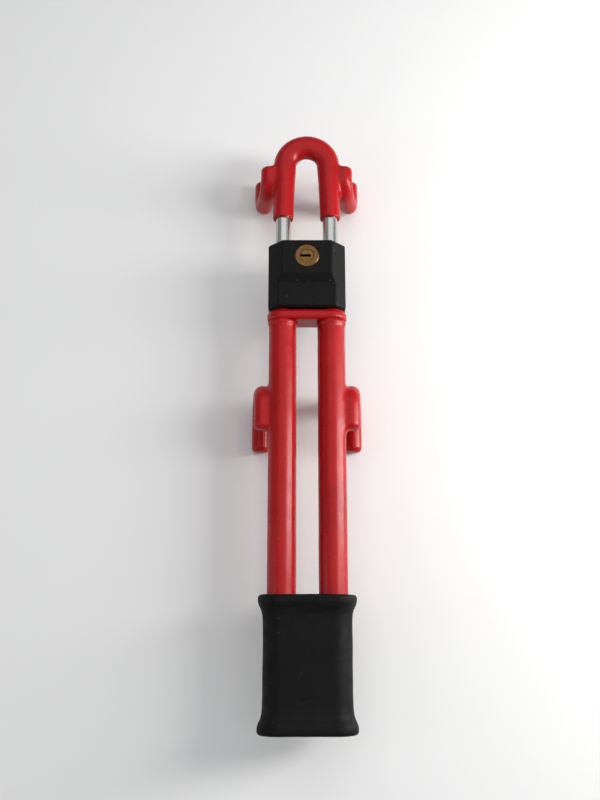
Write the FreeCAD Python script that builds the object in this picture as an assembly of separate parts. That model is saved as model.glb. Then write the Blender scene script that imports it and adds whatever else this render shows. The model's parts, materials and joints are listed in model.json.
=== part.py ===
"""Twin-bar steering wheel lock, lying on its back.

Frame: +Z out of the keyhole face, +Y along the lock towards the U end, +X to the right of the
keyhole. The origin is at the bottom centre of the object's box: the backs of the four hooks
stand on Z = 0. Everything is modelled about the plane of the two bars and lifted when saved.
"""
import math
import os

import FreeCAD
import Part

V = FreeCAD.Vector
SIDES = {"left": -1, "right": 1}

# ---- overall (mm) ----
OVERALL_LENGTH = 576.0
U_TOP_Y = OVERALL_LENGTH / 2
END_Y = -OVERALL_LENGTH / 2
BAR_X = 23.3                      # half the pitch of the two bars, and of the two tubes

# ---- hooks: a steel rod bent to a squared C under a vinyl skin ----
HOOK_CORE_R = 6.8
HOOK_SKIN_R = 8.4
HOOK_BEND_R = 14.0
HOOK_DROP = 47.0                  # from the bar plane down to the rear prong's axis
PRONG_X = 45.6                    # the prongs of all four hooks stand out to the same width
AXIS_Z = HOOK_DROP + HOOK_SKIN_R  # height of the bar plane above the floor

# ---- shackle: one chromed rod bent to a U, with a vinyl sleeve ----
BAR_R = 7.5
SLEEVE_R = 9.8
SLEEVE_END_Y = U_TOP_Y - 92
ARCH_Y = U_TOP_Y - SLEEVE_R - BAR_X
CROWN_R = 9.4                     # extra vinyl that thickens the inside of the arch
CROWN_CENTRE_R = 20.0
CROWN_Y = ARCH_Y - 1.0
SHACKLE_HOOK_BACK_Y = U_TOP_Y - 67
SHACKLE_ARM_LENGTH = 32.0         # from the back of the web to the end of the front arm
SHACKLE_PRONG_LENGTH = 40.0       # from the back of the web to the tip of the prong
SHACKLE_EAR_X = BAR_X + BAR_R + HOOK_CORE_R

# ---- travel and ratchet notches ----
TRAVEL_OUT = 240.0
TRAVEL_IN = 20.0
NOTCH_PITCH = 10.0
NOTCH_DEPTH = 3.6
NOTCH_STOP = 2.6                  # square face, on the U side of the bolt
NOTCH_FLOOR = 1.6                 # floor, on the grip side of the bolt, before the ramp

# ---- lock housing ----
HOUSING_TOP_Y = U_TOP_Y - 124
HOUSING_END_Y = U_TOP_Y - 191
COVER_WALL = 2.2
BLOCK_GAP = 0.1
BLOCK_END_Y = HOUSING_END_Y + 10
HOUSING_SECTION = [(37.3, -13.0), (37.3, 10.0), (24.0, 24.0)]
HOUSING_BACK = (31.0, -19.0)
BOSS_END_Y = U_TOP_Y - 158        # the raised part round the cylinder ends here
BOSS_SLOPE = 9.0
BOSS_STEP = 4.0
BUSH_R = 8.9
BUSH_BORE_R = BAR_R + 0.05
BUSH_LENGTH = 7.0
BAR_BORE_R = BAR_R + 0.4

# ---- lock cylinder ----
CYL_Y = U_TOP_Y - 141
SHELL_R = 11.5
SHELL_FRONT = 24.6
SHELL_BACK = 6.2
PLUG_R = 6.5
PLUG_GAP = 0.05
NECK_R = 4.0
PIN_R = 1.1
PIN_COUNT = 5
PIN_PITCH = 3.2
FIRST_PIN_Z = 9.5
CAM_R = 6.0
CAM_Z = (3.6, 5.1)
TAIL_HALF = 1.7                   # half the square tail that carries the cam
CLIP_Z = (5.3, 6.0)
CAM_PIN_R = 1.1
CAM_PIN_ORBIT = 3.2
CAVITY_R = 8.6

# ---- locking bolts: two, sliding outwards into the bars, driven by the cam pins ----
CAM_PIN_REST = CAM_PIN_ORBIT * math.sin(math.radians(45))
BOLT_TRAVEL = 2 * CAM_PIN_REST
BOLT_HALF_THICK = 3.2
BOLT_NOSE = 2.2
BOLT_TIP_X = 14.6
BOLT_BODY_X = (5.2, 9.4)
BOLT_TONGUE_X = -4.7
BOLT_TONGUE_Y = (-5.8, -0.35)
BOLT_SLOT_HALF = CAM_PIN_R + 0.25
BOLT_SLOT_Y = (-4.6, -0.95)
BOLT_EAR_Y = 9.6
SPRING_Y = 7.9
SPRING_X = (1.6, 8.4)
SPRING_R = 1.35
SPRING_WIRE_R = 0.25
SPRING_TURNS = 6

# ---- tubes and handle ----
TUBE_R = 11.7
TUBE_BORE_R = 8.7
TUBE_SKIN_R = 13.2
TUBE_END_Y = END_Y + 10
BODY_HOOK_BACK_Y = U_TOP_Y - 261
BODY_ARM_LENGTH = 46.0
BODY_PRONG_LENGTH = 58.0
BODY_EAR_X = BAR_X + TUBE_R + HOOK_CORE_R
COLLAR_R = 15.0
COLLAR_LENGTH = 10.3
STOP_R = 8.3
STOP_LENGTH = 14.0
SPIGOT_R = 6.0
GRIP_TOP_Y = U_TOP_Y - 458.5
GRIP_FLATNESS = 18.6              # how much less its half depth is than its half width


def save(node, solids):
    """Write one node, lifted so that the hook backs stand on Z = 0."""
    shape = solids if isinstance(solids, Part.Shape) else Part.Compound(solids)
    shape = shape.copy()
    shape.translate(V(0, 0, AXIS_Z))
    shape.exportStep(f"parts/{node}.step")


def rod(radius, start, end):
    """A round rod between two points."""
    along = end - start
    return Part.makeCylinder(radius, along.Length, start, along)


def ring(outer, inner, start, end):
    """A round sleeve between two points."""
    return rod(outer, start, end).cut(rod(inner, start, end))


def slab(x_range, y_range, z_range):
    """A box from its three ranges."""
    low = V(x_range[0], y_range[0], z_range[0])
    return Part.makeBox(x_range[1] - low.x, y_range[1] - low.y, z_range[1] - low.z, low)


def prism(points, along):
    """A polygon pushed along a vector."""
    return Part.Face(Part.makePolygon(points + points[:1])).extrude(along)


def one(shape):
    """The single solid that a boolean leaves, with seams merged."""
    return max(shape.removeSplitter().Solids, key=lambda solid: solid.Volume)


# ---------------------------------------------------------------- hooks

def hook_corners(ear_x, back_y, opens, lengths, inset):
    """The bent rod's corners: front arm end, front corner, rear corner, prong tip."""
    web_y = back_y + opens * HOOK_SKIN_R
    arm_y = back_y + opens * (lengths[0] - inset)
    tip_y = back_y + opens * (lengths[1] - inset)
    return [V(ear_x, arm_y, 0), V(ear_x, web_y, 0),
            V(PRONG_X, web_y, -HOOK_DROP), V(PRONG_X, tip_y, -HOOK_DROP)]


def bent_path(corners, bend_radius):
    """Straight runs through the corners, joined by tangent arcs."""
    edges = []
    run_start = corners[0]
    for before, corner, after in zip(corners, corners[1:], corners[2:]):
        back = (before - corner).normalize()
        ahead = (after - corner).normalize()
        half_turn = back.getAngle(ahead) / 2
        middle = (back + ahead).normalize()
        setback = bend_radius / math.tan(half_turn)
        centre = corner + middle * (bend_radius / math.sin(half_turn))
        arc_start = corner + back * setback
        arc_end = corner + ahead * setback
        edges.append(Part.makeLine(run_start, arc_start))
        edges.append(Part.Arc(arc_start, centre - middle * bend_radius, arc_end).toShape())
        run_start = arc_end
    edges.append(Part.makeLine(run_start, corners[-1]))
    return Part.Wire(edges)


def round_sweep(path, radius, start, direction):
    """A round section carried along a path."""
    profile = Part.Wire(Part.makeCircle(radius, start, direction))
    return path.makePipeShell([profile], True, True)


def bent_rod(corners, radius, end_round):
    """A bent round rod with rounded ends."""
    path = bent_path(corners, HOOK_BEND_R)
    solid = round_sweep(path, radius, corners[0], corners[1] - corners[0])
    ends = [edge for edge in solid.Edges
            if isinstance(edge.Curve, Part.Circle)
            and min(edge.CenterOfMass.distanceToPoint(corners[0]),
                    edge.CenterOfMass.distanceToPoint(corners[-1])) < 0.01]
    return solid.makeFillet(end_round, ends)


def hook_pair(side, ear_x, host_r, host_skin_r, back_y, opens, lengths):
    """One hook's steel core with its weld beads, and its vinyl skin."""
    core_rod = bent_rod(hook_corners(ear_x, back_y, opens, lengths, 2.0), HOOK_CORE_R, 1.5)
    skin_rod = bent_rod(hook_corners(ear_x, back_y, opens, lengths, 0.0), HOOK_SKIN_R, 4.5)

    weld_y = sorted((back_y + opens * (HOOK_BEND_R + 9), back_y + opens * (lengths[0] - 4)))
    host = rod(host_r, V(BAR_X, weld_y[0] - 40, 0), V(BAR_X, weld_y[1] + 40, 0))
    host_skin = rod(host_skin_r, V(BAR_X, weld_y[0] - 40, 0), V(BAR_X, weld_y[1] + 40, 0))
    groove_x = BAR_X + host_r
    core = core_rod
    for height in (-3.0, 3.0):
        core = core.fuse(rod(2.4, V(groove_x, weld_y[0], height), V(groove_x, weld_y[1], height)))
    core = one(core.cut(host))

    fairing = slab((BAR_X + 4, ear_x), (weld_y[0] - 7, weld_y[1] + 3), (-6.0, 6.0))
    fairing = fairing.makeFillet(2.0, fairing.Edges)
    skin = one(skin_rod.fuse(fairing).cut(host_skin).cut(core))
    if side < 0:
        core = core.mirror(V(0, 0, 0), V(1, 0, 0))
        skin = skin.mirror(V(0, 0, 0), V(1, 0, 0))
    return core, skin


# ---------------------------------------------------------------- shackle

def u_path(end_y, centre_r, centre_y):
    """A U: up the left leg, round the arch, down the right leg."""
    left = V(-centre_r, centre_y, 0)
    right = V(centre_r, centre_y, 0)
    arch = Part.Arc(left, V(0, centre_y + centre_r, 0), right).toShape()
    return Part.Wire([Part.makeLine(V(-centre_r, end_y, 0), left), arch,
                      Part.makeLine(right, V(centre_r, end_y, 0))])


def bar_stop_face_y():
    """The shoulder on each bar that meets the lower bush when the lock is fully open."""
    return BLOCK_END_Y - TRAVEL_OUT - 0.5


def shackle_bar():
    """The U rod with its rows of notches, turned ends and screw holes."""
    shoulder_y = bar_stop_face_y()
    end_y = shoulder_y - STOP_LENGTH
    bar = round_sweep(u_path(shoulder_y, BAR_X, ARCH_Y), BAR_R, V(-BAR_X, shoulder_y, 0), V(0, 1, 0))
    for side in SIDES.values():
        x = side * BAR_X
        bar = bar.fuse(rod(SPIGOT_R, V(x, end_y, 0), V(x, shoulder_y + 1, 0)))
        bar = bar.cut(rod(2.5, V(x, end_y, 0), V(x, end_y + 12, 0)))
        for index in range(int((TRAVEL_OUT + TRAVEL_IN) / NOTCH_PITCH) + 1):
            bar = bar.cut(notch(side, CYL_Y + TRAVEL_IN - index * NOTCH_PITCH))
    return one(bar)


def notch(side, y):
    """One ratchet notch on a bar's inner side: square towards the U, ramped towards the grip."""
    outside_x = BAR_X - BAR_R - 1
    floor_x = BAR_X - BAR_R + NOTCH_DEPTH
    depth = floor_x - outside_x
    profile = [(outside_x, y + NOTCH_STOP), (floor_x, y + NOTCH_STOP),
               (floor_x, y - NOTCH_FLOOR), (outside_x, y - NOTCH_FLOOR - depth)]
    points = [V(side * x, py, -BAR_R) for x, py in profile]
    return prism(points, V(0, 0, 2 * BAR_R))


def shackle_sleeve():
    """The vinyl sleeve over the U, thicker on the inside of the arch."""
    sleeve = round_sweep(u_path(SLEEVE_END_Y, BAR_X, ARCH_Y), SLEEVE_R,
                         V(-BAR_X, SLEEVE_END_Y, 0), V(0, 1, 0))
    crown = Part.makeTorus(CROWN_CENTRE_R, CROWN_R, V(0, CROWN_Y, 0), V(0, 0, 1))
    crown = crown.common(slab((-60, 60), (CROWN_Y, CROWN_Y + 60), (-20, 20)))
    sleeve = sleeve.fuse(crown)
    for side in SIDES.values():
        taper_end = V(side * BAR_X, SLEEVE_END_Y + 8, 0)
        taper_top = V(side * CROWN_CENTRE_R, CROWN_Y, 0)
        along = taper_top - taper_end
        sleeve = sleeve.fuse(Part.makeCone(SLEEVE_R - 0.1, CROWN_R, along.Length, taper_end, along))
    bar = round_sweep(u_path(SLEEVE_END_Y - 1, BAR_X, ARCH_Y), BAR_R,
                      V(-BAR_X, SLEEVE_END_Y - 1, 0), V(0, 1, 0))
    return sleeve.cut(bar)


def bar_stop(side):
    """The guide sleeve on a bar's inner end, which stops the bar leaving its tube."""
    x = side * BAR_X
    top = V(x, bar_stop_face_y(), 0)
    stop = ring(STOP_R, SPIGOT_R, V(x, top.y - STOP_LENGTH, 0), top)
    return one(stop)


def bar_stop_screw(side):
    """The button-head screw that holds a stop on its bar."""
    x = side * BAR_X
    end_y = bar_stop_face_y() - STOP_LENGTH
    head = rod(7.4, V(x, end_y - 3.2, 0), V(x, end_y, 0))
    head = head.makeFillet(1.4, [edge for edge in head.Edges if edge.CenterOfMass.y < end_y - 3])
    screw = head.fuse(rod(2.5, V(x, end_y - 1, 0), V(x, end_y + 11, 0)))
    return one(screw.cut(hex_socket(V(x, end_y - 3.2, 0), V(0, 1, 0), 4.0, 2.0)))


def hex_socket(mouth, inward, across_flats, depth):
    """A six-sided key socket."""
    corner_r = across_flats / math.sqrt(3)
    across = V(0, 0, 1) if abs(inward.z) < 0.5 else V(1, 0, 0)
    other = inward.cross(across)
    points = [mouth + across * (corner_r * math.cos(math.radians(60 * k)))
              + other * (corner_r * math.sin(math.radians(60 * k))) for k in range(6)]
    return prism(points, inward * depth)


# ---------------------------------------------------------------- housing

def housing_profile(inset):
    """The housing's section in X and Z, shrunk evenly by an inset."""
    right = [HOUSING_BACK] + HOUSING_SECTION
    left = [(-x, z) for x, z in reversed(right)]
    points = [V(x, 0, z) for x, z in right + left]
    wire = Part.makePolygon(points + points[:1])
    return wire if inset == 0 else wire.makeOffset2D(-inset)


def housing_body(inset, end_y, top_y):
    """A solid of the housing's section, with the step below the cylinder boss."""
    profile = housing_profile(inset)
    profile.translate(V(0, end_y, 0))
    body = Part.Face(profile).extrude(V(0, top_y - end_y, 0))
    front = HOUSING_SECTION[-1][1] - inset
    low = front - BOSS_STEP
    step = prism([V(-50, BOSS_END_Y, front), V(-50, BOSS_END_Y - BOSS_SLOPE, low),
                  V(-50, end_y - 1, low), V(-50, end_y - 1, front + 5),
                  V(-50, BOSS_END_Y, front + 5)], V(100, 0, 0))
    return body.cut(step)


def bar_holes(radius, low_y, high_y):
    """Both bars' holes, for cutting."""
    holes = [rod(radius, V(side * BAR_X, low_y, 0), V(side * BAR_X, high_y, 0))
             for side in SIDES.values()]
    return holes[0].fuse(holes[1])


def cover_screw_places():
    """Where the four short screws hold the rear cover to the block."""
    return [(side * 25.0, y) for y in (HOUSING_END_Y + 20, HOUSING_TOP_Y - 11) for side in SIDES.values()]


def long_screw_places():
    """Where the two long screws pull the front cover down through the block."""
    return [(side * 9.5, BLOCK_END_Y + 6.5) for side in SIDES.values()]


def cover_shell():
    """The whole hollow cover, before it is split into its front and rear halves."""
    outer = housing_body(0, HOUSING_END_Y, HOUSING_TOP_Y)
    outer = outer.makeFillet(2.6, outer.Edges)
    inner = housing_body(COVER_WALL, HOUSING_END_Y + COVER_WALL, HOUSING_TOP_Y - COVER_WALL)
    shell = outer.cut(inner)
    shell = shell.cut(bar_holes(BAR_R + 0.9, HOUSING_TOP_Y - 10, HOUSING_TOP_Y + 1))
    return shell.cut(bar_holes(TUBE_R + 0.2, HOUSING_END_Y - 1, HOUSING_END_Y + 10))


def front_cover(shell):
    """The front half of the cover, with the cylinder hole and two screw posts."""
    cover = shell.common(slab((-60, 60), (0, 300), (0, 60)))
    cover = cover.cut(rod(SHELL_R + 0.5, V(0, CYL_Y, 10), V(0, CYL_Y, 60)))
    front = HOUSING_SECTION[-1][1] - BOSS_STEP - COVER_WALL
    for x, y in long_screw_places():
        post = ring(3.4, 1.6, V(x, y, front - 6), V(x, y, front + 1))
        cover = cover.fuse(post.common(slab((-60, 60), (0, 300), (0, front + 0.5))))
    return one(cover)


def rear_cover(shell):
    """The rear half of the cover, countersunk for its screws."""
    cover = shell.common(slab((-60, 60), (0, 300), (-60, 0)))
    back = HOUSING_BACK[1]
    for x, y in cover_screw_places() + long_screw_places():
        cover = cover.cut(rod(1.9, V(x, y, back - 1), V(x, y, back + 5)))
        cover = cover.cut(Part.makeCone(3.4, 1.9, 1.5, V(x, y, back), V(0, 0, 1)))
    return one(cover)


def countersunk_screw(x, y, length):
    """A countersunk screw driven in from the back of the housing."""
    back = HOUSING_BACK[1] + 0.2
    screw = Part.makeCone(3.1, 1.6, 1.5, V(x, y, back), V(0, 0, 1))
    screw = screw.fuse(rod(1.6, V(x, y, back + 1.5), V(x, y, back + length)))
    return one(screw.cut(hex_socket(V(x, y, back), V(0, 0, 1), 2.2, 1.2)))


def lock_block():
    """The steel block: bar bores, bush seats, cylinder bore, cam cavity and bolt channels."""
    block = housing_body(COVER_WALL + BLOCK_GAP, BLOCK_END_Y, HOUSING_TOP_Y - COVER_WALL - BLOCK_GAP)
    top_y = HOUSING_TOP_Y - COVER_WALL - BLOCK_GAP
    back = HOUSING_BACK[1]
    block = block.cut(bar_holes(BAR_BORE_R, BLOCK_END_Y - 1, top_y + 1))
    block = block.cut(bar_holes(BUSH_R, BLOCK_END_Y - 1, BLOCK_END_Y + BUSH_LENGTH))
    block = block.cut(bar_holes(BUSH_R, top_y - BUSH_LENGTH, top_y + 1))
    block = block.cut(rod(SHELL_R + PLUG_GAP, V(0, CYL_Y, SHELL_BACK), V(0, CYL_Y, 40)))
    block = block.cut(rod(CAVITY_R, V(0, CYL_Y, 0), V(0, CYL_Y, SHELL_BACK)))
    for cutter in bolt_channels() + [bolt_plate_pocket()]:
        block = block.cut(cutter)
    for x, y in plate_screw_places():
        block = block.cut(rod(1.5, V(x, y, -8), V(x, y, -0.5)))
    for x, y in cover_screw_places():
        block = block.cut(rod(1.6, V(x, y, back), V(x, y, back + 8.2)))
    for x, y in long_screw_places():
        block = block.cut(rod(1.9, V(x, y, back), V(x, y, 40)))
        block = block.cut(rod(3.6, V(x, y, 10), V(x, y, 40)))
    block = block.cut(rod(2.0, V(0, CYL_Y + SHELL_R - 0.5, 14), V(0, top_y + 1, 14)))
    return one(block)


def bar_bush(side, low_y):
    """A bush that guides a bar through the block."""
    x = side * BAR_X
    return one(ring(BUSH_R, BUSH_BORE_R, V(x, low_y, 0), V(x, low_y + BUSH_LENGTH, 0)))


# ---------------------------------------------------------------- cylinder

def pin_heights():
    """Heights of the pin stacks above the bar plane."""
    return [FIRST_PIN_Z + PIN_PITCH * index for index in range(PIN_COUNT)]


def cylinder_shell():
    """The brass shell: plug bore, pin chambers and the dimple for its grub screw."""
    shell = rod(SHELL_R, V(0, CYL_Y, SHELL_BACK), V(0, CYL_Y, SHELL_FRONT))
    front = [edge for edge in shell.Edges if edge.CenterOfMass.z > SHELL_FRONT - 0.1]
    shell = shell.makeChamfer(0.6, front)
    shell = shell.cut(rod(PLUG_R + PLUG_GAP, V(0, CYL_Y, 0), V(0, CYL_Y, 40)))
    for z in pin_heights():
        shell = shell.cut(rod(PIN_R + 0.05, V(0, CYL_Y - SHELL_R - 1, z), V(0, CYL_Y - PLUG_R, z)))
    channel = slab((-1.6, 1.6), (CYL_Y - SHELL_R - 1, CYL_Y - SHELL_R + 0.9),
                   (pin_heights()[0] - 2, pin_heights()[-1] + 1.4))
    dimple = rod(1.6, V(0, CYL_Y + SHELL_R - 0.6, 14), V(0, CYL_Y + SHELL_R + 2, 14))
    return one(shell.cut(channel).cut(dimple))


def chamber_strip():
    """The brass strip that closes the pin chambers."""
    strip = slab((-1.6, 1.6), (CYL_Y - SHELL_R, CYL_Y - SHELL_R + 0.9),
                 (pin_heights()[0] - 2, pin_heights()[-1] + 1.4))
    return one(strip.common(rod(SHELL_R, V(0, CYL_Y, 0), V(0, CYL_Y, 40))))


def keyway():
    """The wavy slot of a flat key, from the plug's left edge to past its middle."""
    upper = [(-6.9, 1.4), (-5.9, 2.2), (-5.0, 1.1), (-3.9, 1.7), (-2.9, 0.6), (-1.9, 1.6),
             (-0.8, 0.6), (0.3, 1.6), (1.4, 1.0), (3.2, 1.3), (3.9, 0.6)]
    lower = [(3.9, -0.9), (3.0, -2.0), (2.1, -1.1), (1.1, -2.0), (0.0, -1.0), (-1.2, -1.9),
             (-2.3, -1.0), (-3.4, -1.9), (-4.7, -0.9), (-6.9, -1.4)]
    points = [V(x, CYL_Y + y, SHELL_BACK + 2) for x, y in upper + lower]
    return prism(points, V(0, 0, 30))


def cylinder_plug():
    """The plug that the key turns, with its keyway, pin bores, neck and clip groove."""
    centre = V(0, CYL_Y, 0)
    plug = rod(PLUG_R, centre + V(0, 0, SHELL_BACK + 0.1), centre + V(0, 0, SHELL_FRONT - 0.2))
    front = [edge for edge in plug.Edges if edge.CenterOfMass.z > SHELL_FRONT - 0.5]
    plug = plug.makeChamfer(0.35, front)
    plug = plug.fuse(rod(NECK_R, centre + V(0, 0, CLIP_Z[1]), centre + V(0, 0, SHELL_BACK + 0.2)))
    plug = plug.fuse(rod(NECK_R - 0.8, centre + V(0, 0, CLIP_Z[0]), centre + V(0, 0, CLIP_Z[1])))
    plug = plug.fuse(rod(NECK_R, centre + V(0, 0, CAM_Z[1]), centre + V(0, 0, CLIP_Z[0])))
    plug = plug.fuse(tail_block())
    plug = plug.cut(keyway())
    for z in pin_heights():
        plug = plug.cut(rod(PIN_R + 0.05, V(0, CYL_Y - PLUG_R - 1, z), V(0, CYL_Y - 1.2, z)))
    return one(plug)


def tail_block():
    """The square tail that carries the cam."""
    return slab((-TAIL_HALF, TAIL_HALF), (CYL_Y - TAIL_HALF, CYL_Y + TAIL_HALF), CAM_Z)


def plug_clip():
    """The open clip that keeps the plug in its shell."""
    centre = V(0, CYL_Y, 0)
    clip = ring(7.6, NECK_R - 0.8, centre + V(0, 0, CLIP_Z[0]), centre + V(0, 0, CLIP_Z[1]))
    return one(clip.cut(slab((-2.4, 2.4), (CYL_Y, CYL_Y + 10), (0, 10))))


def cam_disc():
    """The disc on the plug's tail, with one drive pin for each bolt."""
    centre = V(0, CYL_Y, 0)
    cam = rod(CAM_R, centre + V(0, 0, CAM_Z[0]), centre + V(0, 0, CAM_Z[1])).cut(tail_block())
    for sign in (-1, 1):
        x = sign * CAM_PIN_REST
        y = CYL_Y + sign * CAM_PIN_REST
        cam = cam.fuse(rod(CAM_PIN_R, V(x, y, -2.6), V(x, y, CAM_Z[0])))
    return one(cam)


def key_pins():
    """The pins that ride in the plug."""
    return [rod(PIN_R, V(0, CYL_Y - PLUG_R + 0.1, z), V(0, CYL_Y - 1.7, z)) for z in pin_heights()]


def driver_pins():
    """The pins that ride in the shell, at the shear line as the right key sets them."""
    return [rod(PIN_R, V(0, CYL_Y - PLUG_R - 2.3, z), V(0, CYL_Y - PLUG_R - 0.12, z))
            for z in pin_heights()]


def pin_springs():
    """One spring behind each driver pin."""
    low_y = CYL_Y - SHELL_R + 0.9
    high_y = CYL_Y - PLUG_R - 2.3
    return [ring(0.9, 0.6, V(0, low_y, z), V(0, high_y, z)) for z in pin_heights()]


def grub_screw():
    """The screw that holds the cylinder in the block."""
    tip_y = CYL_Y + SHELL_R - 0.5
    end_y = HOUSING_TOP_Y - COVER_WALL - BLOCK_GAP
    screw = rod(1.5, V(0, tip_y, 14), V(0, tip_y + 1, 14))
    screw = screw.fuse(rod(1.95, V(0, tip_y + 1, 14), V(0, end_y - 0.3, 14)))
    return one(screw.cut(hex_socket(V(0, end_y - 0.3, 14), V(0, -1, 0), 1.8, 1.0)))


# ---------------------------------------------------------------- bolts

def bolt_channels():
    """The space in the block for both bolts and their springs."""
    high = BOLT_HALF_THICK + 0.2
    end_x = BOLT_BODY_X[1] + BOLT_TRAVEL + 0.5
    body = slab((-end_x, end_x), (CYL_Y + BOLT_TONGUE_Y[0] - 0.6, CYL_Y - BOLT_TONGUE_Y[0] + 0.6),
                (-8, high))
    channels = [body]
    for side in SIDES.values():
        xs = sorted((side * SPRING_X[0], side * end_x))
        ys = sorted((CYL_Y, CYL_Y + side * (BOLT_EAR_Y + 0.3)))
        channels.append(slab(xs, ys, (-8, high)))
        nose_x = sorted((side * (end_x - 1), side * BAR_X))
        channels.append(slab(nose_x, (CYL_Y - BOLT_NOSE - 0.3, CYL_Y + BOLT_NOSE + 0.3), (-high, high)))
    return channels


def bolt(ramp_side):
    """The right-hand bolt: nose bevelled on one side, body, slotted tongue and spring pocket."""
    body = slab(BOLT_BODY_X, (CYL_Y + BOLT_TONGUE_Y[0], CYL_Y + BOLT_EAR_Y),
                (-BOLT_HALF_THICK, BOLT_HALF_THICK))
    chamfer = 1.1
    nose_profile = [(BOLT_BODY_X[1] - 1, BOLT_NOSE), (BOLT_TIP_X - chamfer, BOLT_NOSE),
                    (BOLT_TIP_X, BOLT_NOSE - chamfer), (BOLT_TIP_X, -BOLT_NOSE),
                    (BOLT_BODY_X[1] - 1, -BOLT_NOSE)]
    nose = prism([V(x, CYL_Y + ramp_side * y, -BOLT_HALF_THICK) for x, y in nose_profile],
                 V(0, 0, 2 * BOLT_HALF_THICK))
    tongue = slab((BOLT_TONGUE_X, BOLT_BODY_X[0] + 1),
                  (CYL_Y + BOLT_TONGUE_Y[0], CYL_Y + BOLT_TONGUE_Y[1]),
                  (-BOLT_HALF_THICK, BOLT_HALF_THICK))
    slot = slab((-CAM_PIN_REST - BOLT_SLOT_HALF, -CAM_PIN_REST + BOLT_SLOT_HALF),
                (CYL_Y + BOLT_SLOT_Y[0], CYL_Y + BOLT_SLOT_Y[1]), (-5, 5))
    pocket = rod(SPRING_R + 0.25, V(BOLT_BODY_X[0] - 1, CYL_Y + SPRING_Y, 0),
                 V(SPRING_X[1], CYL_Y + SPRING_Y, 0))
    return one(body.fuse(nose).fuse(tongue).cut(slot).cut(pocket))


def bolt_spring():
    """The right-hand bolt's coil spring, lying along X."""
    length = SPRING_X[1] - SPRING_X[0] - 2 * SPRING_WIRE_R
    centre_r = SPRING_R - SPRING_WIRE_R
    path = Part.makeHelix(length / SPRING_TURNS, length, centre_r)
    wire = round_sweep(path, SPRING_WIRE_R, V(centre_r, 0, 0), V(0, 1, 0))
    wire.rotate(V(0, 0, 0), V(0, 1, 0), 90)
    wire.translate(V(SPRING_X[0] + SPRING_WIRE_R, CYL_Y + SPRING_Y, 0))
    return wire


def turned(shape):
    """The same piece turned half a turn about the cylinder, for the left-hand side."""
    other = shape.copy()
    other.rotate(V(0, CYL_Y, 0), V(0, 0, 1), 180)
    return other


def plate_screw_places():
    """Where the bolt plate's four screws stand."""
    return [(x, CYL_Y + y) for x in (-12.2, 12.2) for y in (-11.5, 11.5)]


def bolt_plate_pocket():
    """The recess in the back of the block for the bolt plate."""
    return slab((-16.2, 16.2), (CYL_Y - 14.1, CYL_Y + 14.1), (-30, -7.2))


def bolt_plate():
    """The plate that closes the bolt channels, with a pad that carries the bolts."""
    plate = slab((-16, 16), (CYL_Y - 13.6, CYL_Y + 13.6), (-10.2, -7.2))
    pad_x = BOLT_BODY_X[1] + BOLT_TRAVEL
    pad = slab((-pad_x, pad_x), (CYL_Y - 6.2, CYL_Y + 6.2), (-8, -BOLT_HALF_THICK - 0.2))
    plate = plate.fuse(pad)
    for x, y in plate_screw_places():
        plate = plate.cut(rod(1.6, V(x, y, -11), V(x, y, -7)))
    return one(plate)


def plate_screws():
    """The four cap screws of the bolt plate."""
    screws = []
    for x, y in plate_screw_places():
        screw = rod(1.45, V(x, y, -10.2), V(x, y, -1))
        screw = screw.fuse(rod(2.2, V(x, y, -12.4), V(x, y, -10.2)))
        screws.append(one(screw.cut(hex_socket(V(x, y, -12.4), V(0, 0, 1), 2.2, 1.3))))
    return screws


# ---------------------------------------------------------------- tubes and handle

def tube(side):
    """A steel tube, butt-welded to the block, in which a bar slides."""
    x = side * BAR_X
    return one(ring(TUBE_R, TUBE_BORE_R, V(x, TUBE_END_Y, 0), V(x, BLOCK_END_Y, 0)))


def tube_sleeve(side):
    """The vinyl skin of a tube, from the housing to inside the grip."""
    x = side * BAR_X
    return one(ring(TUBE_SKIN_R, TUBE_R, V(x, TUBE_END_Y + 2, 0), V(x, HOUSING_END_Y - 0.1, 0)))


def race_track(radius, low_y, high_y):
    """A flat oval block around both tube axes."""
    left = rod(radius, V(-BAR_X, low_y, 0), V(-BAR_X, high_y, 0))
    right = rod(radius, V(BAR_X, low_y, 0), V(BAR_X, high_y, 0))
    middle = slab((-BAR_X, BAR_X), (low_y, high_y), (-radius, radius))
    return left.fuse(middle).fuse(right).removeSplitter()


def tube_collar():
    """The cross-piece that ties the two tubes together under the housing."""
    high_y = HOUSING_END_Y - 0.1
    low_y = high_y - COLLAR_LENGTH
    collar = race_track(COLLAR_R, low_y, high_y)
    collar = collar.makeFillet(1.8, collar.Edges)
    return one(collar.cut(bar_holes(TUBE_SKIN_R, low_y - 1, high_y + 1)))


def end_plate():
    """The plate welded across the tube ends inside the grip."""
    return race_track(TUBE_SKIN_R - 0.4, TUBE_END_Y - 4, TUBE_END_Y)


def grip_outline(y, half_x, half_z):
    """One rounded section of the grip."""
    corner = half_z * 0.78
    flat_x = half_x - corner
    flat_z = half_z - corner
    diagonal = corner * math.sin(math.radians(45))
    edges = []
    for sx, sz in ((1, 1), (-1, 1), (-1, -1), (1, -1)):
        side_point = V(sx * half_x, y, sz * flat_z)
        face_point = V(sx * flat_x, y, sz * half_z)
        middle = V(sx * (flat_x + diagonal), y, sz * (flat_z + diagonal))
        ends = (side_point, face_point) if sx * sz > 0 else (face_point, side_point)
        edges.append(Part.Arc(ends[0], middle, ends[1]).toShape())
    lines = [Part.makeLine(edges[k].Vertexes[-1].Point, edges[(k + 1) % 4].Vertexes[0].Point)
             for k in range(4)]
    return Part.Wire([piece for pair in zip(edges, lines) for piece in pair])


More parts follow.
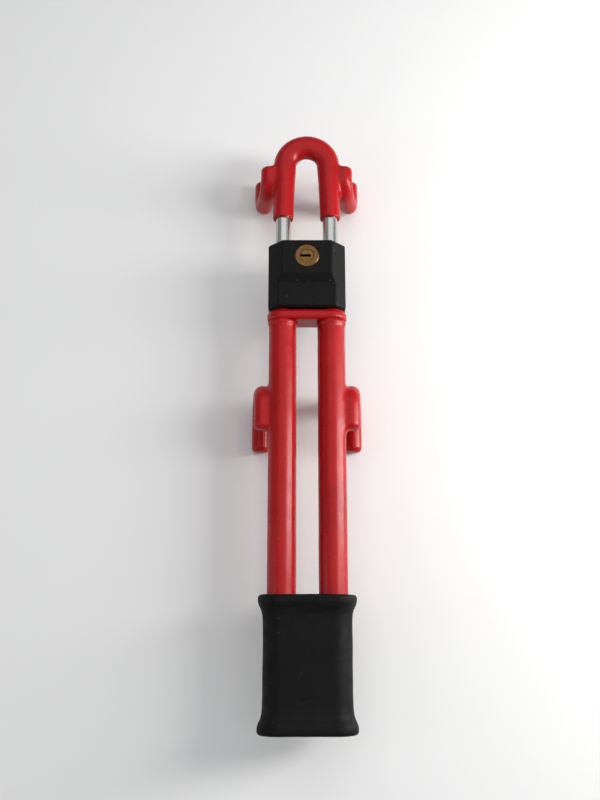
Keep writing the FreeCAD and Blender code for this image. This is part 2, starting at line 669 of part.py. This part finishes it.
def grip():
    """The rubber grip: a flattened sleeve with a flare at each end, closed at the far end."""
    stations = [(GRIP_TOP_Y, 42.2), (GRIP_TOP_Y - 1.5, 43.5), (GRIP_TOP_Y - 6.5, 44.0),
                (GRIP_TOP_Y - 9.5, 43.0), (GRIP_TOP_Y - 13, 41.2), (GRIP_TOP_Y - 17, 40.1),
                (GRIP_TOP_Y - 22, 39.7), (GRIP_TOP_Y - 60, 39.4), (END_Y + 24, 39.6),
                (END_Y + 17, 40.3), (END_Y + 11, 42.0), (END_Y + 6, 43.4), (END_Y + 1.5, 43.2),
                (END_Y, 42.0)]
    solid = Part.makeLoft([grip_outline(y, half_x, half_x - GRIP_FLATNESS) for y, half_x in stations],
                          True, True)
    solid = solid.cut(bar_holes(TUBE_SKIN_R, TUBE_END_Y, GRIP_TOP_Y + 1))
    return one(solid.cut(race_track(TUBE_SKIN_R - 0.4, TUBE_END_Y - 4, TUBE_END_Y)))


# ---------------------------------------------------------------- all nodes

def save_shackle():
    """Everything that slides out of the tubes."""
    bar = shackle_bar()
    sleeve = shackle_sleeve()
    save("shackle_bar", bar)
    for name, side in SIDES.items():
        core, skin = hook_pair(side, SHACKLE_EAR_X, BAR_R, SLEEVE_R, SHACKLE_HOOK_BACK_Y, 1,
                               (SHACKLE_ARM_LENGTH, SHACKLE_PRONG_LENGTH))
        sleeve = sleeve.cut(core)
        save(f"shackle_hook_{name}", one(core.cut(bar)))
        save(f"shackle_hook_skin_{name}", one(skin.cut(sleeve)))
        save(f"bar_stop_{name}", bar_stop(side))
    save("shackle_sleeve", one(sleeve))
    save("bar_stop_screws", [bar_stop_screw(side) for side in SIDES.values()])


def save_tubes():
    """The two tubes, their hooks, skins, cross-pieces and the grip."""
    for name, side in SIDES.items():
        core, skin = hook_pair(side, BODY_EAR_X, TUBE_R, TUBE_SKIN_R, BODY_HOOK_BACK_Y, -1,
                               (BODY_ARM_LENGTH, BODY_PRONG_LENGTH))
        save(f"tube_{name}", tube(side))
        save(f"tube_sleeve_{name}", one(tube_sleeve(side).cut(core)))
        save(f"tube_hook_{name}", core)
        save(f"tube_hook_skin_{name}", skin)
    save("tube_collar", tube_collar())
    save("handle_end_plate", end_plate())
    save("handle_grip", grip())


def save_housing():
    """The block, its bushes, covers and screws."""
    shell = cover_shell()
    top_bush_y = HOUSING_TOP_Y - COVER_WALL - BLOCK_GAP - BUSH_LENGTH
    save("front_cover", front_cover(shell))
    save("rear_cover", rear_cover(shell))
    save("lock_block", lock_block())
    for name, side in SIDES.items():
        save(f"bar_bush_upper_{name}", bar_bush(side, top_bush_y))
        save(f"bar_bush_lower_{name}", bar_bush(side, BLOCK_END_Y))
    save("rear_cover_screws", [countersunk_screw(x, y, 8.0) for x, y in cover_screw_places()])
    save("front_cover_screws", [countersunk_screw(x, y, 34.0) for x, y in long_screw_places()])


def save_mechanism():
    """The key cylinder and the two locking bolts."""
    save("cylinder_shell", cylinder_shell())
    save("cylinder_plug", cylinder_plug())
    save("plug_clip", plug_clip())
    save("bolt_cam", cam_disc())
    save("key_pins", key_pins())
    save("driver_pins", driver_pins())
    save("pin_springs", pin_springs())
    save("pin_chamber_strip", chamber_strip())
    save("cylinder_grub_screw", grub_screw())
    spring = bolt_spring()
    save("bolt_right", bolt(-1))
    save("bolt_left", turned(bolt(1)))
    save("bolt_spring_right", spring)
    save("bolt_spring_left", turned(spring))
    save("bolt_plate", bolt_plate())
    save("bolt_plate_screws", plate_screws())


os.makedirs("parts", exist_ok=True)
save_shackle()
save_tubes()
save_housing()
save_mechanism()
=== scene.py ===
import json
import math

import bpy
import numpy as np
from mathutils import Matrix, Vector


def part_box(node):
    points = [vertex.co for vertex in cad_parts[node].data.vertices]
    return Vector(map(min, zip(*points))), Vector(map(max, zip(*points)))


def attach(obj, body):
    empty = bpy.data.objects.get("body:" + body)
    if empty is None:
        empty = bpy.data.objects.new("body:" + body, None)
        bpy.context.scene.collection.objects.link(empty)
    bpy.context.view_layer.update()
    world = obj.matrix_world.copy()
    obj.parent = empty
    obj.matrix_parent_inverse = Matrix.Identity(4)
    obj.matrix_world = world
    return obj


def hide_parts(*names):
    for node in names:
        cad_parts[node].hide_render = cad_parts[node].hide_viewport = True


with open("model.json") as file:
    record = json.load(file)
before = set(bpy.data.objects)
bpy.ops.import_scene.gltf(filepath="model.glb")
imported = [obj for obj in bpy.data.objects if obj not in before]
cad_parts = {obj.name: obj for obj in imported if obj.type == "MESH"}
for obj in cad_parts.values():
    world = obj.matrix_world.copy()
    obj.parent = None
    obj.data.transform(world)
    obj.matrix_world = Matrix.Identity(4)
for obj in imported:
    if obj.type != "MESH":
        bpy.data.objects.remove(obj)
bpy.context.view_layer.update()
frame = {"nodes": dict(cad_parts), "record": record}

MM = 0.001
NODES = frame["nodes"]
SIDES = {"left": -1, "right": 1}

# ---- sizes that the pieces share with the CAD (mm) ----
AXIS_Z = sum(corner.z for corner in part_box("shackle_bar")) / 2 / MM
U_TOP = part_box("shackle_sleeve")[1].y / MM
GRIP_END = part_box("handle_grip")[0].y / MM
GRIP_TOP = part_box("handle_grip")[1].y / MM
SLEEVE_END = U_TOP - 92
BAR_X = 23.3
BAR_R = 7.5
SLEEVE_R = 9.8
ARCH_Y = U_TOP - SLEEVE_R - BAR_X
CROWN_X = 20.0
CROWN_R = 9.4
CROWN_Y = ARCH_Y - 1
TUBE_R = 11.7
TUBE_SKIN_R = 13.2
TUBE_LOW = GRIP_END + 10
TUBE_HIGH = U_TOP - 181
HOOK_CORE_R = 6.8
HOOK_SKIN_R = 8.4
HOOK_BEND_R = 14.0
HOOK_DROP = 47.0
PRONG_X = 45.6
COLLAR_Y = (U_TOP - 201.4, U_TOP - 191.1)
COLLAR_R = 15.0
GRIP_FLATNESS = 18.6              # how much less thick than wide the grip is, on each side
WALL_SPARE = 0.5                  # hollows for the hook rods are this much small, so walls can be meshed
END_SPARE = 4.0


# ---------------------------------------------------------------- distance fields

def smooth_min(a, b, k):
    """The nearer of two surfaces, with a fillet where they meet."""
    blend = np.maximum(k - np.abs(a - b), 0)
    return np.minimum(a, b) - blend * blend / (4 * k)


def smooth_max(a, b, k):
    """Where both solids are, with a rounded edge."""
    return -smooth_min(-a, -b, k)


def waves(x, y, z, pitch):
    """A slow, uneven ripple between about -1 and 1."""
    f = 2 * math.pi / pitch
    a = np.sin(f * (0.83 * x + 0.41 * y) + 1.3 * np.sin(f * 0.37 * z))
    b = np.sin(f * (0.57 * z - 0.66 * y) + 1.1 * np.sin(f * 0.29 * x) + 1.7)
    return (a + b) / 2


def u_rod(x, y, z, centre_x, centre_y, r):
    """Two legs and the half ring that joins them."""
    across = np.hypot(x, np.maximum(y - centre_y, 0))
    return np.hypot(across - centre_x, z) - r


def hook(x, y, z, ear_x, back_y, opens, lengths, r, rounding):
    """A rod bent to a squared C: front arm beside the bar, web, and rear prong."""
    lean = math.atan2(PRONG_X - ear_x, HOOK_DROP)
    span = math.hypot(PRONG_X - ear_x, HOOK_DROP)
    side = x - ear_x
    down = side * math.sin(lean) - z * math.cos(lean)
    off = side * math.cos(lean) + z * math.sin(lean)
    along = opens * (y - back_y) - HOOK_SKIN_R
    reach = 200.0
    from_middle = np.abs(along - reach) - (reach - HOOK_BEND_R)
    from_centre = np.abs(down - span / 2) - (span / 2 - HOOK_BEND_R)
    corner = np.hypot(np.maximum(from_middle, 0), np.maximum(from_centre, 0))
    outline = corner + np.minimum(np.maximum(from_middle, from_centre), 0) - HOOK_BEND_R
    tube = np.hypot(outline, off) - r
    end = np.where(down < span / 2, lengths[0], lengths[1]) - HOOK_SKIN_R
    return smooth_max(tube, along - end, rounding)


SHACKLE_HOOK = (BAR_X + BAR_R + HOOK_CORE_R, U_TOP - 67, 1)
SHACKLE_LENGTHS = (32.0, 40.0)
BODY_HOOK = (BAR_X + TUBE_R + HOOK_CORE_R, U_TOP - 261, -1)
BODY_LENGTHS = (46.0, 58.0)


def hook_hollow(x, y, z, place, lengths):
    """The hollow for a hook's steel rod, a little small so that no wall is too thin to mesh."""
    inside = (lengths[0] - END_SPARE, lengths[1] - END_SPARE)
    return hook(x, y, z, *place, inside, HOOK_CORE_R - WALL_SPARE, 1.5)


def shackle_skin(x, y, z):
    """Dipped vinyl over the arch and both of its hooks, with the steel's room left free."""
    taper_start = SLEEVE_END + 8
    taper = np.clip((y - taper_start) / (CROWN_Y - taper_start), 0, 1)
    centre_x = BAR_X - (BAR_X - CROWN_X) * taper
    radius = SLEEVE_R - (SLEEVE_R - CROWN_R) * taper
    crown = np.hypot(np.hypot(x, np.maximum(y - CROWN_Y, 0)) - centre_x, z) - radius
    skin = smooth_min(u_rod(x, y, z, BAR_X, ARCH_Y, SLEEVE_R), crown, 1.5)
    ears = hook(np.abs(x), y, z, *SHACKLE_HOOK, SHACKLE_LENGTHS, HOOK_SKIN_R, 5.0)
    skin = smooth_min(skin, ears, 6.0) + 0.09 * waves(x, y, z, 31) + 0.05 * waves(z, x, y, 13)
    nub = np.sqrt(x * x + (y - U_TOP + 0.7) ** 2 + z * z) - 1.3
    skin = smooth_min(skin, nub, 1.2)
    lip = SLEEVE_END - y + 0.35 * np.sin(3 * np.arctan2(z, np.abs(x) - BAR_X) + 0.7 * np.sign(x))
    skin = smooth_max(skin, lip, 1.6)
    steel = np.minimum(u_rod(x, y, z, BAR_X, ARCH_Y, BAR_R + 0.03),
                       hook_hollow(np.abs(x), y, z, SHACKLE_HOOK, SHACKLE_LENGTHS))
    return smooth_max(skin, -steel, 0.2)


def tube_skin(x, y, z):
    """Dipped vinyl over the right-hand tube and its hook."""
    swell = 0.9 * np.exp(-((y - COLLAR_Y[0] + 1.5) / 2.2) ** 2)
    tube = np.hypot(x - BAR_X, z) - TUBE_SKIN_R - swell
    ear = hook(x, y, z, *BODY_HOOK, BODY_LENGTHS, HOOK_SKIN_R, 5.5)
    skin = smooth_min(tube, ear, 6.5) + 0.08 * waves(x, y, z, 37) + 0.04 * waves(z, x, y, 17)
    skin = smooth_max(smooth_max(skin, y - TUBE_HIGH, 0.8), TUBE_LOW - y, 0.8)
    steel = np.minimum(np.hypot(x - BAR_X, z) - TUBE_R + 0.2, hook_hollow(x, y, z, BODY_HOOK, BODY_LENGTHS))
    return smooth_max(skin, -steel, 0.2)


def collar_skin(x, y, z):
    """The vinyl-covered cross-piece round both tubes."""
    outline = np.hypot(np.maximum(np.abs(x) - BAR_X, 0), z) - COLLAR_R
    half = (COLLAR_Y[1] - COLLAR_Y[0]) / 2
    collar = smooth_max(outline, np.abs(y - COLLAR_Y[0] - half) - half, 4.5)
    collar = collar + 0.08 * waves(x, y, z, 23)
    return smooth_max(collar, TUBE_SKIN_R + 0.15 - np.hypot(np.abs(x) - BAR_X, z), 0.4)


GRIP_STATIONS = (
    (-2, 43.9), (2, 44.1), (6.5, 43.9), (9.5, 43.0), (13, 41.2), (17, 40.1), (22, 39.7), (30, 39.5), (60, 39.4))


# depth, start and end on the front face, width
GRIP_CREASES = (
    (0.5, (-8, -260.5), (8.5, -257.5), 1.3),
    (0.35, (-24, -279), (28, -280), 1.0),
    (0.6, (-20, -183), (6, -179), 2.2),
    (0.5, (4, -187), (25, -184), 2.0))


def grip_half_width(y):
    """The grip's half width: waisted between two rolled lips."""
    from_end = np.minimum(y - GRIP_END, GRIP_TOP - y)
    return np.interp(from_end, [s[0] for s in GRIP_STATIONS], [s[1] for s in GRIP_STATIONS])


def crease(x, y, start, end, width):
    """How deep into a short crease a point of the front face is, from 0 to 1."""
    along = np.array(end) - np.array(start)
    t = np.clip(((x - start[0]) * along[0] + (y - start[1]) * along[1]) / (along @ along), 0, 1)
    away = np.hypot(x - start[0] - t * along[0], y - start[1] - t * along[1])
    return np.exp(-(away / width) ** 2) * (1 - np.abs(2 * t - 1) ** 4 * 0.6)


def grip_body(x, y, z):
    """The rubber grip with its two tube sockets, dents and creases."""
    half_x = grip_half_width(y)
    half_z = half_x - GRIP_FLATNESS
    corner = 0.78 * half_z
    qx = np.abs(x) - half_x + corner
    qz = np.abs(z) - half_z + corner
    body = np.hypot(np.maximum(qx, 0), np.maximum(qz, 0)) + np.minimum(np.maximum(qx, qz), 0) - corner
    body = smooth_max(smooth_max(body, y - GRIP_TOP, 3.5), GRIP_END - y, 4.0)
    front = z > 0
    dents = sum(depth * crease(x, y, start, end, width) for depth, start, end, width in GRIP_CREASES)
    body = body + np.where(front, dents, 0) + 0.16 * waves(x, y, z, 43) + 0.08 * waves(z, x, y, 19)
    sockets = np.minimum(TUBE_SKIN_R + 0.12 - np.hypot(np.abs(x) - BAR_X, z), y - TUBE_LOW)
    return smooth_max(body, sockets, 1.4)


# ---------------------------------------------------------------- meshes

def surface_nets(field, low, step):
    """Quads over the zero surface of a sampled distance field."""
    quads, points = [], []
    for axis in range(3):
        first, second = [slice(None)] * 3, [slice(None)] * 3
        first[axis], second[axis] = slice(0, -1), slice(1, None)
        before, after = field[tuple(first)], field[tuple(second)]
        index = np.argwhere((before < 0) != (after < 0))
        a, b = before[tuple(index.T)], after[tuple(index.T)]
        point = index.astype(float)
        point[:, axis] += a / (a - b)
        corners = []
        for du, dv in ((0, 0), (1, 0), (1, 1), (0, 1)):
            cell = index.copy()
            cell[:, (axis + 1) % 3] -= du
            cell[:, (axis + 2) % 3] -= dv
            corners.append(np.ravel_multi_index(cell.T, field.shape))
        quad = np.stack(corners, 1)
        outward_back = a > 0
        quad[outward_back] = quad[outward_back][:, ::-1]
        quads.append(quad)
        points.append(np.repeat(point, 4, axis=0))
    quads, points = np.concatenate(quads), np.concatenate(points)
    _, faces = np.unique(quads, return_inverse=True)
    count = np.bincount(faces.ravel())
    middle = [np.bincount(faces.ravel(), weights=points[:, k]) / count for k in range(3)]
    return np.stack(middle, 1) * step + low, faces.reshape(-1, 4)


def pull_to_surface(points, distance, step):
    """Move each vertex onto the exact surface."""
    small = 0.01
    for _ in range(4):
        value = distance(*points.T)
        slope = np.stack([distance(*(points + small * axis).T) - distance(*(points - small * axis).T)
                          for axis in np.eye(3)], 1) / (2 * small)
        move = value / np.maximum((slope ** 2).sum(1), 0.2)
        points = points - np.clip(move, -step / 2, step / 2)[:, None] * slope
    return points


def field_piece(name, distance, low, high, step):
    """A smooth closed mesh of the solid that a distance function describes."""
    low, high, step = np.array(low, float), np.array(high, float), np.array(step, float)
    counts = np.ceil((high - low) / step).astype(int) + 1
    x, y, z = [low[k] + step[k] * np.arange(counts[k]) for k in range(3)]
    field = distance(x[:, None, None], y[None, :, None], z[None, None, :])
    points, faces = surface_nets(field, low, step)
    points = pull_to_surface(points, distance, step.min())
    points[:, 2] += AXIS_Z
    mesh = bpy.data.meshes.new(name)
    mesh.vertices.add(len(points))
    mesh.vertices.foreach_set("co", (points * MM).ravel())
    mesh.loops.add(faces.size)
    mesh.loops.foreach_set("vertex_index", faces.ravel().astype(np.int32))
    mesh.polygons.add(len(faces))
    mesh.polygons.foreach_set("loop_start", np.arange(0, faces.size, 4, dtype=np.int32))
    mesh.polygons.foreach_set("use_smooth", np.ones(len(faces), bool))
    mesh.update(calc_edges=True)
    mesh.validate()
    piece = bpy.data.objects.new(name, mesh)
    bpy.context.scene.collection.objects.link(piece)
    return piece


def mirrored(distance, side):
    """The same solid on the left or the right."""
    return lambda x, y, z: distance(side * x, y, z)


# ---------------------------------------------------------------- materials

class Recipe:
    """A node material under construction."""

    def __init__(self, name, **settings):
        self.material = bpy.data.materials.new(name)
        self.material.use_nodes = True
        self.tree = self.material.node_tree
        self.shader = self.tree.nodes["Principled BSDF"]
        self.place = self.node("ShaderNodeTexCoord").outputs["Object"]
        for socket, value in settings.items():
            self.shader.inputs[socket.replace("_", " ")].default_value = value

    def node(self, kind, **values):
        made = self.tree.nodes.new(kind)
        for key, value in values.items():
            if hasattr(made, key):
                setattr(made, key, value)
            else:
                made.inputs[key.replace("_", " ")].default_value = value
        return made

    def link(self, output, target):
        self.tree.links.new(output, target)

    def noise(self, scale, detail=3.0, roughness=0.55, stretch=(1, 1, 1), distortion=0.0):
        """Cloudy noise, optionally drawn out along an axis."""
        mapping = self.node("ShaderNodeMapping")
        mapping.inputs["Scale"].default_value = stretch
        self.link(self.place, mapping.inputs["Vector"])
        noise = self.node("ShaderNodeTexNoise", Scale=scale, Detail=detail, Roughness=roughness,
                          Distortion=distortion)
        self.link(mapping.outputs["Vector"], noise.inputs["Vector"])
        return noise.outputs["Fac"]

    def spots(self, scale, size, soft=0.5):
        """Scattered specks: 1 inside a speck, 0 between."""
        cells = self.node("ShaderNodeTexVoronoi", Scale=scale)
        self.link(self.place, cells.inputs["Vector"])
        pick = self.span(cells.outputs["Color"], 0.80, 0.82, 0, 1)
        near = self.span(cells.outputs["Distance"], size * soft, size, 1, 0)
        return self.math("MULTIPLY", pick, near)

    def span(self, value, low, high, out_low, out_high):
        """A value remapped and clamped."""
        made = self.node("ShaderNodeMapRange")
        for key, number in (("From Min", low), ("From Max", high), ("To Min", out_low), ("To Max", out_high)):
            made.inputs[key].default_value = number
        self.link(value, made.inputs["Value"])
        return made.outputs["Result"]

    def math(self, operation, a, b):
        made = self.node("ShaderNodeMath", operation=operation)
        for socket, value in zip(made.inputs, (a, b)):
            if isinstance(value, (int, float)):
                socket.default_value = value
            else:
                self.link(value, socket)
        return made.outputs["Value"]

    def mix(self, factor, a, b):
        """A colour between two colours."""
        made = self.node("ShaderNodeMix", data_type="RGBA")
        self.link(factor, made.inputs["Factor"])
        for socket, value in ((made.inputs[6], a), (made.inputs[7], b)):
            if isinstance(value, tuple):
                socket.default_value = (*value, 1)
            else:
                self.link(value, socket)
        return made.outputs[2]

    def bump(self, height, strength, depth):
        """Stack one more layer of relief on the surface."""
        made = self.node("ShaderNodeBump", Strength=strength, Distance=depth)
        self.link(height, made.inputs["Height"])
        if self.shader.inputs["Normal"].links:
            self.link(self.shader.inputs["Normal"].links[0].from_socket, made.inputs["Normal"])
        self.link(made.outputs["Normal"], self.shader.inputs["Normal"])

    def finish(self, colour, roughness):
        self.link(colour, self.shader.inputs["Base Color"])
        self.link(roughness, self.shader.inputs["Roughness"])
        return self.material


def vinyl():
    """Dipped vinyl: slightly uneven, semi-gloss, with a little dust."""
    r = Recipe("red_vinyl", IOR=1.46, Specular_IOR_Level=0.24, Coat_Weight=0.10, Coat_Roughness=0.14)
    shade = r.mix(r.noise(38, 4), (0.33, 0.0022, 0.0040), (0.45, 0.0045, 0.0070))
    grime = r.mix(r.span(r.noise(14, 5, 0.62), 0.52, 0.80, 0, 0.55), shade, (0.20, 0.002, 0.004))
    dust = r.mix(r.math("MULTIPLY", r.spots(520, 0.22), 0.30), grime, (0.60, 0.30, 0.28))
    r.bump(r.noise(230, 3), 0.16, 0.0006)
    r.bump(r.noise(1500, 2), 0.10, 0.00012)
    r.bump(r.noise(60, 2, stretch=(1, 0.15, 1)), 0.10, 0.0010)
    return r.finish(dust, r.span(r.noise(90, 5, 0.6), 0.3, 0.72, 0.24, 0.42))


def plated_bar():
    """Bright plating with lengthwise drawing lines and scuffs."""
    r = Recipe("chrome_bar", Metallic=1.0)
    lines = r.noise(1500, 4, 0.7, stretch=(1, 0.012, 1))
    scuffs = r.noise(260, 5, 0.7, stretch=(1, 0.25, 1), distortion=0.6)
    shade = r.mix(r.noise(30, 4), (0.50, 0.50, 0.49), (0.62, 0.62, 0.60))
    shade = r.mix(r.span(scuffs, 0.60, 0.75, 0, 0.5), shade, (0.38, 0.37, 0.36))
    r.bump(lines, 0.10, 0.00006)
    r.bump(r.spots(700, 0.18), 0.25, 0.00005)
    return r.finish(shade, r.math("ADD", r.span(lines, 0.3, 0.7, 0.16, 0.28), r.span(scuffs, 0.5, 0.8, 0, 0.16)))


def powder_black():
    """Matt black coating with a fine grain and dust specks."""
    r = Recipe("black_cover", IOR=1.45, Specular_IOR_Level=0.14)
    shade = r.mix(r.noise(45, 4), (0.0034, 0.0034, 0.0038), (0.0066, 0.0066, 0.0070))
    shade = r.mix(r.math("MULTIPLY", r.spots(900, 0.26), 0.35), shade, (0.16, 0.16, 0.15))
    shade = r.mix(r.math("MULTIPLY", r.spots(260, 0.10), 0.60), shade, (0.45, 0.44, 0.38))
    r.bump(r.noise(1300, 4, 0.7), 0.25, 0.00022)
    r.bump(r.noise(420, 2), 0.12, 0.00030)
    return r.finish(shade, r.span(r.noise(300, 4), 0.3, 0.7, 0.38, 0.58))


def rubber():
    """Dull black rubber with faint bloom."""
    r = Recipe("grip_rubber", IOR=1.45, Specular_IOR_Level=0.14)
    shade = r.mix(r.noise(24, 5, 0.6), (0.0036, 0.0036, 0.0038), (0.0072, 0.0071, 0.0070))
    shade = r.mix(r.span(r.noise(70, 6, 0.7, distortion=0.8), 0.62, 0.82, 0, 0.35), shade, (0.028, 0.027, 0.025))
    shade = r.mix(r.math("MULTIPLY", r.spots(330, 0.12), 0.5), shade, (0.33, 0.32, 0.29))
    r.bump(r.noise(950, 4, 0.72), 0.38, 0.00025)
    r.bump(r.noise(150, 3), 0.16, 0.0006)
    return r.finish(shade, r.span(r.noise(120, 5), 0.3, 0.7, 0.46, 0.68))


def brass(name, light, dark, centre, marks):
    """Turned brass: fine rings about the cylinder's axis over a stained ground."""
    r = Recipe(name, Metallic=1.0)
    shift = r.node("ShaderNodeMapping")
    shift.inputs["Location"].default_value = tuple(-c for c in centre)
    r.link(r.place, shift.inputs["Vector"])
    rings = r.node("ShaderNodeTexWave", wave_type="RINGS", rings_direction="Z", Scale=marks, Distortion=1.2)
    rings.inputs["Detail"].default_value = 3
    r.link(shift.outputs["Vector"], rings.inputs["Vector"])
    stain = r.noise(330, 5, 0.65)
    shade = r.mix(r.span(stain, 0.35, 0.7, 0, 1), light, dark)
    shade = r.mix(r.span(r.noise(900, 3), 0.60, 0.75, 0, 0.5), shade, tuple(0.55 * c for c in dark))
    r.bump(rings.outputs["Fac"], 0.12, 0.00005)
    r.bump(r.noise(1600, 3), 0.12, 0.00006)
    return r.finish(shade, r.span(stain, 0.3, 0.75, 0.30, 0.48))


def steel(name, light, dark, roughness, metallic=1.0, grain=(1, 1, 1)):
    """Plain metal or plastic: cloudy ground, directional grain, small pits."""
    r = Recipe(name, Metallic=metallic)
    shade = r.mix(r.noise(140, 5, 0.65), light, dark)
    lines = r.noise(900, 4, 0.7, stretch=grain)
    r.bump(lines, 0.2, 0.00008)
    r.bump(r.spots(620, 0.2), 0.2, 0.00006)
    return r.finish(shade, r.span(lines, 0.3, 0.7, roughness[0], roughness[1]))


PLUG_CENTRE = [sum(corner[k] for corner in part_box("cylinder_plug")) / 2 for k in range(3)]
FINISHES = {
    "red_vinyl": vinyl(),
    "chrome_bar": plated_bar(),
    "black_cover": powder_black(),
    "grip_rubber": rubber(),
    "brass_shell": brass("brass_shell", (0.215, 0.112, 0.047), (0.135, 0.066, 0.028), PLUG_CENTRE, 900),
    "brass_plug": brass("brass_plug", (0.225, 0.140, 0.048), (0.150, 0.088, 0.030), PLUG_CENTRE, 1200),
    "pin_brass": brass("pin_brass", (0.66, 0.44, 0.17), (0.52, 0.32, 0.11), PLUG_CENTRE, 1500),
    "bare_steel": steel("bare_steel", (0.36, 0.35, 0.34), (0.22, 0.21, 0.20), (0.34, 0.52), grain=(1, 0.1, 1)),
    "zinc_steel": steel("zinc_steel", (0.60, 0.61, 0.62), (0.47, 0.47, 0.46), (0.24, 0.38)),
    "block_steel": steel("block_steel", (0.30, 0.30, 0.31), (0.20, 0.20, 0.20), (0.36, 0.55), grain=(0.1, 1, 1)),
    "bush_nylon": steel("bush_nylon", (0.62, 0.60, 0.53), (0.52, 0.50, 0.43), (0.38, 0.5), metallic=0.0),
    "spring_steel": steel("spring_steel", (0.50, 0.50, 0.50), (0.38, 0.38, 0.37), (0.2, 0.32)),
}


def dress(piece, finish):
    """Give every face of a piece one finish."""
    piece.data.materials.clear()
    piece.data.materials.append(FINISHES[finish])


# ---------------------------------------------------------------- pieces

def add(name, distance, low, high, step, finish, body, replaced):
    """Mesh a field and put it in place of its CAD nodes."""
    piece = field_piece(name, distance, low, high, step)
    dress(piece, finish)
    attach(piece, body)
    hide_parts(*replaced)
    return piece


def build_pieces():
    hook_low = -HOOK_DROP - HOOK_SKIN_R - 3
    hook_side = PRONG_X + HOOK_SKIN_R + 3
    add("shackle_vinyl_skin", shackle_skin, (-hook_side, SLEEVE_END - 4, hook_low),
        (hook_side, U_TOP + 4, SLEEVE_R + 4), (0.8, 0.8, 0.8), "red_vinyl", "shackle",
        ["shackle_sleeve", "shackle_hook_skin_left", "shackle_hook_skin_right"])
    for name, side in SIDES.items():
        inner, outer = side * (BAR_X - TUBE_SKIN_R - 3), side * hook_side
        add(f"tube_vinyl_skin_{name}", mirrored(tube_skin, side),
            (min(inner, outer), TUBE_LOW - 4, hook_low), (max(inner, outer), TUBE_HIGH + 4, TUBE_SKIN_R + 4),
            (0.9, 1.1, 0.9), "red_vinyl", "lock_body", [f"tube_sleeve_{name}", f"tube_hook_skin_{name}"])
    reach = BAR_X + COLLAR_R + 3
    add("collar_vinyl_skin", collar_skin, (-reach, COLLAR_Y[0] - 3, -COLLAR_R - 3),
        (reach, COLLAR_Y[1] + 3, COLLAR_R + 3), (0.7, 0.5, 0.7), "red_vinyl", "lock_body", ["tube_collar"])
    add("rubber_grip", grip_body, (-48, GRIP_END - 4, -30), (48, GRIP_TOP + 4, 30), (0.95, 0.95, 0.95),
        "grip_rubber", "lock_body", ["handle_grip"])


def dress_cad_nodes():
    """Every carried-over CAD node takes the finish that its record names."""
    finishes = {entry["node"]: entry["material_slot"] for entry in frame["record"]["subparts"]}
    for node, piece in NODES.items():
        for slot in piece.material_slots:
            slot.link = "OBJECT"
            slot.material = FINISHES[finishes[node]]


ROUNDED_NODES = {"front_cover": 0.9, "rear_cover": 0.9, "cylinder_shell": 0.35, "cylinder_plug": 0.12}


def soften_edges(node, width):
    """Round the CAD node's sharp edges, which a moulded or machined part never has."""
    piece = NODES[node]
    weld = piece.modifiers.new("weld", "WELD")
    weld.merge_threshold = 0.00001
    flat = piece.modifiers.new("flat", "DECIMATE")
    flat.decimate_type = "DISSOLVE"
    flat.angle_limit = math.radians(0.6)
    bevel = piece.modifiers.new("bevel", "BEVEL")
    bevel.width = width * MM
    bevel.segments = 3
    bevel.limit_method = "ANGLE"
    bevel.angle_limit = math.radians(28)
    bevel.harden_normals = True


# ---------------------------------------------------------------- stage

def add_floor():
    """A plain pale floor, a little uneven in tone."""
    bpy.ops.mesh.primitive_grid_add(x_subdivisions=2, y_subdivisions=2, size=6)
    floor = bpy.context.object
    floor.name = "studio_floor"
    r = Recipe("studio_floor")
    floor.data.materials.append(r.finish(r.mix(r.noise(9, 3), (0.84, 0.84, 0.835), (0.87, 0.87, 0.865)),
                                         r.span(r.noise(40, 3), 0.3, 0.7, 0.62, 0.72)))


def add_light(name, place, aim, size, power, colour=(1, 1, 1)):
    """A rectangular soft light."""
    lamp = bpy.data.lights.new(name, "AREA")
    lamp.shape = "RECTANGLE"
    lamp.size, lamp.size_y = size
    lamp.energy = power
    lamp.color = colour
    light = bpy.data.objects.new(name, lamp)
    light.location = place
    light.rotation_euler = (Vector(aim) - Vector(place)).to_track_quat("-Z", "Y").to_euler()
    bpy.context.scene.collection.objects.link(light)


def add_camera():
    """A camera above the lock that leans 15 degrees towards the U end."""
    lens = bpy.data.cameras.new("camera")
    lens.sensor_fit = "VERTICAL"
    lens.angle_y = math.radians(47.3)
    camera = bpy.data.objects.new("camera", lens)
    camera.location = (-0.00665, -0.2133, AXIS_Z * MM + 0.8335)
    camera.rotation_euler = (math.radians(15), 0, 0)
    bpy.context.scene.collection.objects.link(camera)
    bpy.context.scene.camera = camera


def set_stage():
    """Floor, a low key light from the right, a soft top light and a pale surround."""
    add_floor()
    add_light("key_right", (1.05, 0.12, 0.46), (0.0, 0.0, 0.05), (0.3, 1.3), 20, (1, 0.985, 0.97))
    add_light("top_fill", (0.2, 0.6, 1.8), (0.0, 0.0, 0.0), (2.4, 2.0), 12)
    add_light("left_rim", (-1.1, -0.2, 0.5), (0.0, 0.0, 0.05), (0.25, 1.1), 1.5, (0.97, 0.985, 1))
    world = bpy.data.worlds.new("studio")
    world.use_nodes = True
    world.node_tree.nodes["Background"].inputs["Color"].default_value = (0.92, 0.94, 0.97, 1)
    world.node_tree.nodes["Background"].inputs["Strength"].default_value = 0.33
    bpy.context.scene.world = world
    bpy.context.scene.view_settings.view_transform = "Standard"


add_camera()
build_pieces()
dress_cad_nodes()
for node, width in ROUNDED_NODES.items():
    soften_edges(node, width)
set_stage()
